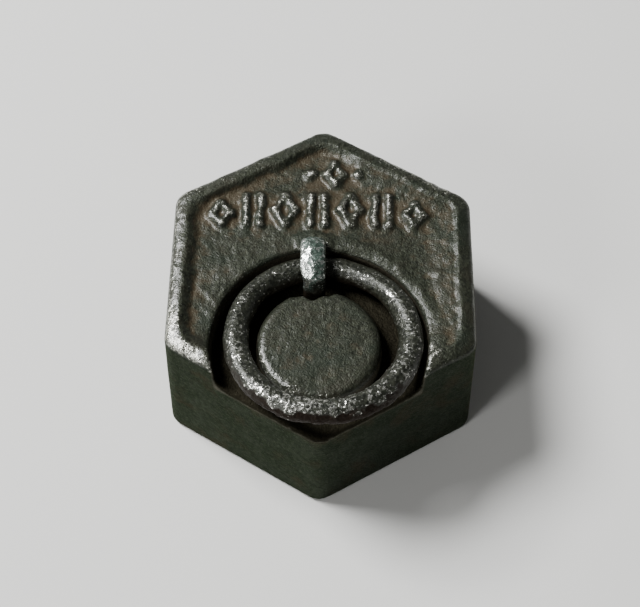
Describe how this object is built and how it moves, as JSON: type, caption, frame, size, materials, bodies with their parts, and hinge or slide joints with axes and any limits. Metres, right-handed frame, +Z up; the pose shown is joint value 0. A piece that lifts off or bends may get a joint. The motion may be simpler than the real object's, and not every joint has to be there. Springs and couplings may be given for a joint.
{
  "type": "hexagonal scale weight",
  "caption": "Old hexagonal cast-iron scale weight, tapered, with a raised rim and a loose forged ring lying in a round groove under a bent iron staple.",
  "frame": {"origin": "centre of the hexagonal base, on the surface that the weight stands on", "axes": "+Z up; -Y towards the corner of the hexagon where the ring lies; +X to the right when looking along +Y"},
  "size_m": [0.0256, 0.029, 0.0149],
  "materials": {
    "cast_iron": "satin",
    "staple_iron": "satin",
    "lead": "matte",
    "forged_iron": "satin"
  },
  "bodies": {
    "weight": {"weight_body": "cast_iron", "staple": "staple_iron", "lead_plug": "lead"},
    "ring": {"ring": "forged_iron"}
  },
  "joints": [
    {"name": "ring_hinge", "type": "hinge", "parent": "weight", "child": "ring", "pos_m": [-0.0007, 0.00085, 0.01255], "axis": [-1, 0, 0], "range_deg": [-8, 98]}
  ]
}
